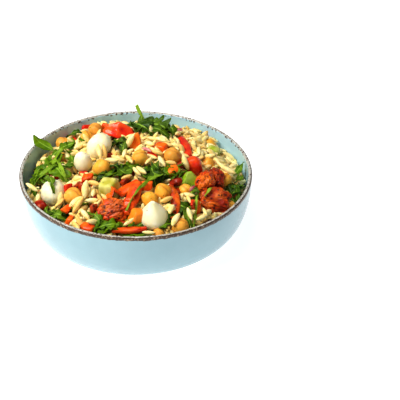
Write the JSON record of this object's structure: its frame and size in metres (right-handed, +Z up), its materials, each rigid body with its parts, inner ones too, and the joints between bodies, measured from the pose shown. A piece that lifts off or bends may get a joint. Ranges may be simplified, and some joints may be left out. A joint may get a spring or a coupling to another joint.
{
  "type": "orzo salad in a bowl",
  "caption": "Orzo salad with roasted tomato, pepper, chickpeas, mozzarella and rocket, heaped in a round glazed stoneware bowl with straight sides, a rounded base and a speckled rim.",
  "frame": {"origin": "middle of the bowl's foot, on the surface it stands on", "axes": "+Z up, -Y towards the front of the bowl as served, +X to its right"},
  "size_m": [0.18, 0.18, 0.0692],
  "materials": {
    "glaze": "pale aqua gloss glaze, brown and cream speckle round the rim",
    "orzo": "boiled pasta, slightly oily",
    "mozzarella": "moist white cheese",
    "roasted_tomato": "roasted, wrinkled and oily with charred spots",
    "chickpea": "boiled, thin skin with a soft gloss",
    "red_pepper": "glossy cooked skin",
    "orange_pepper": "glossy cooked skin",
    "carrot": "cooked, moist cut faces",
    "courgette": "cooked, moist and slightly see-through",
    "rocket": "fresh leaf, satin, with pale ribs"
  },
  "bodies": {
    "root": {"bowl": "glaze", "salad_heap": "orzo", "mozzarella_back": "mozzarella", "mozzarella_left": "mozzarella", "mozzarella_rim": "mozzarella", "mozzarella_front": "mozzarella", "roasted_tomato_skin": "roasted_tomato", "roasted_tomato_fold": "roasted_tomato", "roasted_tomato_cut": "roasted_tomato", "roasted_tomato_wedge": "roasted_tomato", "dried_tomato_strip": "roasted_tomato", "chickpea_01": "chickpea", "chickpea_02": "chickpea", "chickpea_03": "chickpea", "chickpea_04": "chickpea", "chickpea_05": "chickpea", "chickpea_06": "chickpea", "chickpea_07": "chickpea", "chickpea_08": "chickpea", "chickpea_09": "chickpea", "chickpea_10": "chickpea", "chickpea_11": "chickpea", "chickpea_12": "chickpea", "chickpea_13": "chickpea", "chickpea_14": "chickpea", "chickpea_15": "chickpea", "chickpea_16": "chickpea", "chickpea_17": "chickpea", "pepper_red_wedge": "red_pepper", "pepper_red_round": "red_pepper", "pepper_strip_back": "red_pepper", "pepper_strip_front": "red_pepper", "pepper_dark_left": "red_pepper", "pepper_orange_point": "orange_pepper", "pepper_fold_across": "orange_pepper", "pepper_fold_down": "orange_pepper", "pepper_front_left": "orange_pepper", "pepper_right": "orange_pepper", "carrot_front": "carrot", "carrot_middle": "carrot", "carrot_back": "carrot", "courgette_chunk": "courgette", "courgette_green": "courgette", "courgette_back": "courgette", "rocket_over_rim": "rocket", "rocket_left_back": "rocket", "rocket_stem_back": "rocket", "rocket_back_right": "rocket", "rocket_back_middle": "rocket", "rocket_left_wall": "rocket", "rocket_left": "rocket", "rocket_by_pearl": "rocket", "rocket_middle": "rocket", "rocket_small_middle": "rocket", "rocket_front_left": "rocket", "rocket_front": "rocket", "rocket_right_tip": "rocket", "rocket_right_curl": "rocket", "rocket_on_pearl": "rocket", "rocket_stem_tomato": "rocket"}
  },
  "joints": []
}
